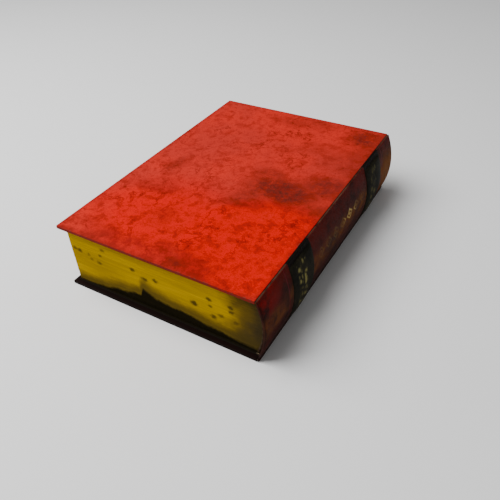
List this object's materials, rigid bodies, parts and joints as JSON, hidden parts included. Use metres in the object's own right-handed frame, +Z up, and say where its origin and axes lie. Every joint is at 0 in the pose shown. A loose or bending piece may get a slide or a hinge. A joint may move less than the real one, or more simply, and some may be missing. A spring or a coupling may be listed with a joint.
{
  "type": "quarter leather bound book",
  "caption": "Thick hardback book with stiff paper-covered boards, a rounded leather spine with raised label bands and yellow page edges; its covers and end leaves open.",
  "frame": {"origin": "centre of the closed book's bounding box, on the plane that the back board lies on", "axes": "+Z up through the closed book from the back board to the front board; +Y from the tail to the head; +X from the fore-edge to the spine"},
  "size_m": [0.1675, 0.23, 0.054],
  "materials": {
    "red_paper": "worn crackled red paper, satin",
    "board": "raw grey-brown pasteboard",
    "endpaper": "matt, aged cream",
    "page_edge": "matt, edges stained mustard yellow",
    "leather": "worn dark maroon, satin",
    "label_leather": "black, satin",
    "linen": "unbleached weave",
    "kraft": "matt brown",
    "endband": "brown thread"
  },
  "bodies": {
    "back_cover": {"back_cover_paper": "red_paper", "back_board": "board", "back_joint_leather": "leather", "back_tape_end_1": "linen", "back_tape_end_2": "linen", "back_tape_end_3": "linen", "back_mull_flange": "linen", "back_pastedown": "endpaper"},
    "text_block": {"section_01": "page_edge", "section_02": "page_edge", "section_03": "page_edge", "section_04": "page_edge", "section_05": "page_edge", "section_06": "page_edge", "section_07": "page_edge", "section_08": "page_edge", "section_09": "page_edge", "section_10": "page_edge", "section_11": "page_edge", "section_12": "page_edge", "section_13": "page_edge", "section_14": "page_edge", "section_15": "page_edge", "section_16": "page_edge", "sewing_tape_1": "linen", "sewing_tape_2": "linen", "sewing_tape_3": "linen", "tail_kettle_stitch": "linen", "head_kettle_stitch": "linen", "tail_endband": "endband", "head_endband": "endband", "spine_mull": "linen", "spine_lining": "kraft", "spine_leather": "leather", "tail_label": "label_leather", "head_label": "label_leather"},
    "front_cover": {"front_cover_paper": "red_paper", "front_board": "board", "front_joint_leather": "leather", "front_tape_end_1": "linen", "front_tape_end_2": "linen", "front_tape_end_3": "linen", "front_mull_flange": "linen", "front_pastedown": "endpaper"},
    "front_flyleaf": {"front_flyleaf": "endpaper"},
    "leaf_1": {"leaf_1": "page_edge"},
    "leaf_2": {"leaf_2": "page_edge"},
    "leaf_3": {"leaf_3": "page_edge"},
    "leaf_4": {"leaf_4": "page_edge"},
    "back_flyleaf": {"back_flyleaf": "endpaper"}
  },
  "joints": [
    {"name": "text_block_lift", "type": "hinge", "parent": "back_cover", "child": "text_block", "pos_m": [0.07725, 0, 0.0015], "axis": [0, 1, 0], "range_deg": [0, 75]},
    {"name": "front_cover_hinge", "type": "hinge", "parent": "text_block", "child": "front_cover", "pos_m": [0.07725, 0, 0.0525], "axis": [0, -1, 0], "range_deg": [-180, 0]},
    {"name": "front_flyleaf_turn", "type": "hinge", "parent": "text_block", "child": "front_flyleaf", "pos_m": [0.07725, 0, 0.0525], "axis": [0, -1, 0], "range_deg": [-172, 0]},
    {"name": "leaf_1_turn", "type": "hinge", "parent": "text_block", "child": "leaf_1", "pos_m": [0.07725, 0, 0.0525], "axis": [0, -1, 0], "range_deg": [-145, 0]},
    {"name": "leaf_2_turn", "type": "hinge", "parent": "text_block", "child": "leaf_2", "pos_m": [0.07725, 0, 0.0525], "axis": [0, -1, 0], "range_deg": [-109, 0]},
    {"name": "leaf_3_turn", "type": "hinge", "parent": "text_block", "child": "leaf_3", "pos_m": [0.07725, 0, 0.0525], "axis": [0, -1, 0], "range_deg": [-73, 0]},
    {"name": "leaf_4_turn", "type": "hinge", "parent": "text_block", "child": "leaf_4", "pos_m": [0.07725, 0, 0.0525], "axis": [0, -1, 0], "range_deg": [-37, 0]},
    {"name": "back_flyleaf_turn", "type": "hinge", "parent": "back_cover", "child": "back_flyleaf", "pos_m": [0.07725, 0, 0.0015], "axis": [0, 1, 0], "range_deg": [0, 38]}
  ],
  "couplings": [
    {"joint": "front_flyleaf_turn", "follows": "front_cover_hinge", "ratio": 0.95},
    {"joint": "leaf_1_turn", "follows": "front_cover_hinge", "ratio": 0.8},
    {"joint": "leaf_2_turn", "follows": "front_cover_hinge", "ratio": 0.6},
    {"joint": "leaf_3_turn", "follows": "front_cover_hinge", "ratio": 0.4},
    {"joint": "leaf_4_turn", "follows": "front_cover_hinge", "ratio": 0.2},
    {"joint": "back_flyleaf_turn", "follows": "text_block_lift", "ratio": 0.5}
  ]
}
